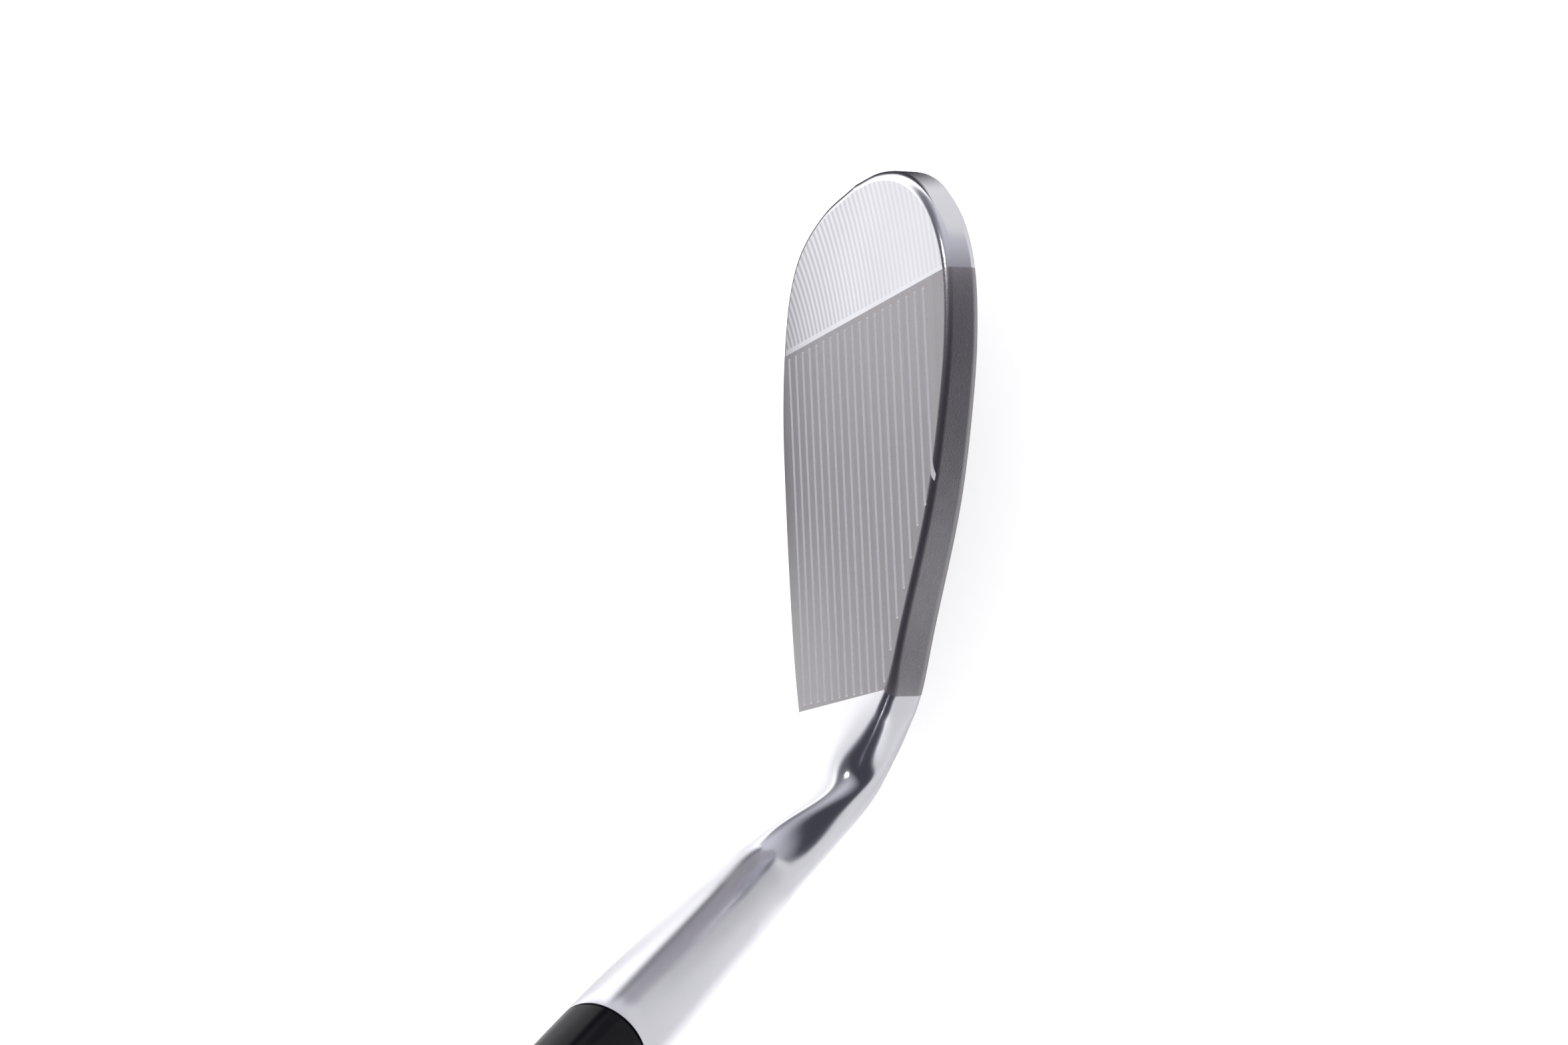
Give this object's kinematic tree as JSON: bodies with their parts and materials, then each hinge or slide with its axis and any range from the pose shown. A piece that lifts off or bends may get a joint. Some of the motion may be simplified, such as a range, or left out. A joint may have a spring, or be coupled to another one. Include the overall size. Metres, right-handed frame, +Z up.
{
  "type": "iron golf club",
  "caption": "High-lofted forged blade iron with grooved face, polished neck and hosel, black ferrule, stepped steel shaft and rubber grip.",
  "frame": {"origin": "middle of the small flat on which the sole rests at address", "axes": "+Z up, the striking face looks towards -Y, the toe lies along -X and the shaft rises along +X"},
  "size_m": [0.4978, 0.0589, 0.8124],
  "materials": {
    "head_steel": "polished chrome with a fine blasted zone on face and topline",
    "ferrule_plastic": "glossy black turned plastic",
    "epoxy": "set adhesive, slightly amber",
    "weight_brass": "plain turned brass",
    "shaft_steel": "bright chromed steel tube",
    "tape": "paper tape, matt",
    "grip_rubber": "matt black moulded rubber",
    "cap_rubber": "firm black rubber, satin"
  },
  "bodies": {
    "root": {"club_head": "head_steel", "ferrule": "ferrule_plastic", "epoxy_ring": "epoxy", "tip_weight": "weight_brass", "shaft": "shaft_steel", "grip_tape": "tape", "grip": "grip_rubber", "grip_cap": "cap_rubber"}
  },
  "joints": []
}
